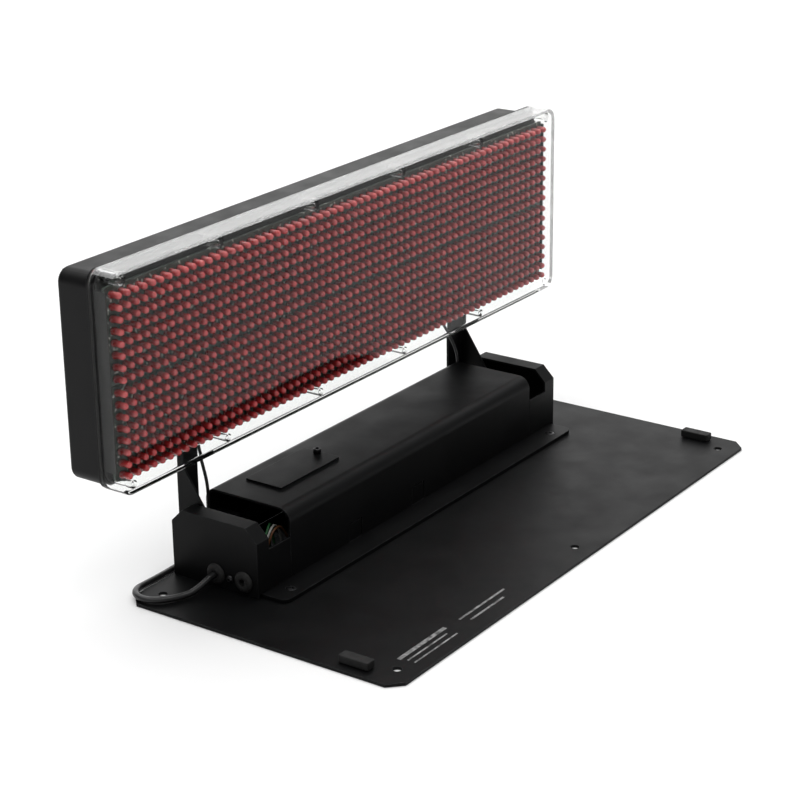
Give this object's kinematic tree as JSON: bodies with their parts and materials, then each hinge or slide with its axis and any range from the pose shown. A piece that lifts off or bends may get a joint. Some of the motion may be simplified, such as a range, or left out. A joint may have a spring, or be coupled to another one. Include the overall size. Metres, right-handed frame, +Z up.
{
  "type": "fold-up LED message display",
  "caption": "Vehicle message display: an LED matrix behind a clear lid, on a motorised mount that folds it down flat over a metal base plate.",
  "frame": {"origin": "middle of the base plate's underside, which is the surface the display stands on", "axes": "+X along the display, to the right seen from its front; -Y the way the LEDs face when it stands up; +Z up"},
  "size_m": [0.501, 0.2569, 0.2292],
  "materials": {
    "black_powder_coat": "satin, fine texture",
    "black_plastic": "fine moulded texture",
    "black_rubber": "dull",
    "clear_plastic": "clear and glossy",
    "red_led_plastic": "translucent and glossy",
    "circuit_board": "solder resist, satin",
    "zinc_steel": "zinc plated, satin",
    "bronze": "sintered, satin",
    "grey_plastic": "fine moulded texture",
    "core_green": "soft sheen",
    "core_brown": "soft sheen",
    "core_white": "soft sheen"
  },
  "bodies": {
    "base": {"base_plate": "black_powder_coat", "rest_pad_left": "black_rubber", "rest_pad_right": "black_rubber", "mechanism_tray": "black_powder_coat", "flange_screw_left": "zinc_steel", "flange_screw_right": "zinc_steel", "end_cheek_left": "black_powder_coat", "end_cheek_right": "black_powder_coat", "cord_grommet": "black_rubber", "blank_grommet": "black_rubber", "cheek_screw": "zinc_steel", "top_cover": "black_powder_coat", "service_hatch": "black_powder_coat", "hatch_screw": "zinc_steel", "bearing_block_left": "zinc_steel", "bearing_block_right": "zinc_steel", "bearing_bush_left": "bronze", "bearing_bush_right": "bronze", "motor_gearbox": "grey_plastic", "drive_motor": "zinc_steel", "motor_bracket": "zinc_steel", "switch_bracket": "zinc_steel", "limit_switch_up": "black_plastic", "limit_switch_down": "black_plastic", "controller_board": "circuit_board", "terminal_block": "grey_plastic", "supply_fuse": "grey_plastic", "display_cable_left": "black_rubber", "display_cable_right": "black_rubber", "cord_inner_end": "black_rubber", "inner_core_brown": "core_brown", "inner_core_white": "core_white", "inner_core_green": "core_green", "power_cord": "black_rubber", "cord_hank": "black_rubber", "cord_tie": "black_plastic", "cord_tail": "black_rubber", "tail_core_green": "core_green", "tail_core_brown": "core_brown", "tail_core_white": "core_white"},
    "display": {"hinge_shaft": "zinc_steel", "arm_left": "black_powder_coat", "arm_right": "black_powder_coat", "arm_hub_left": "zinc_steel", "arm_hub_right": "zinc_steel", "drive_sector": "zinc_steel", "limit_cam": "black_plastic", "clear_lid": "clear_plastic", "lid_seal": "black_rubber", "rear_housing": "black_plastic", "board_carrier": "black_plastic", "led_board_lower": "circuit_board", "led_board_upper": "circuit_board", "led_field_lower": "red_led_plastic", "led_field_upper": "red_led_plastic", "driver_board": "circuit_board", "cable_gland_left": "black_plastic", "cable_gland_right": "black_plastic"},
    "pinion": {"drive_pinion": "bronze", "gearbox_shaft": "zinc_steel"}
  },
  "joints": [
    {"name": "display_fold", "type": "hinge", "parent": "base", "child": "display", "pos_m": [0, 0.094, 0.0235], "axis": [1, 0, 0], "range_deg": [0, 90], "deforming": ["display_cable_left", "display_cable_right"]},
    {"name": "pinion_spin", "type": "hinge", "parent": "base", "child": "pinion", "pos_m": [0.046, 0.0724, 0.0235], "axis": [1, 0, 0], "range_deg": [-270, 0]}
  ],
  "couplings": [
    {"joint": "pinion_spin", "follows": "display_fold", "ratio": -3}
  ]
}
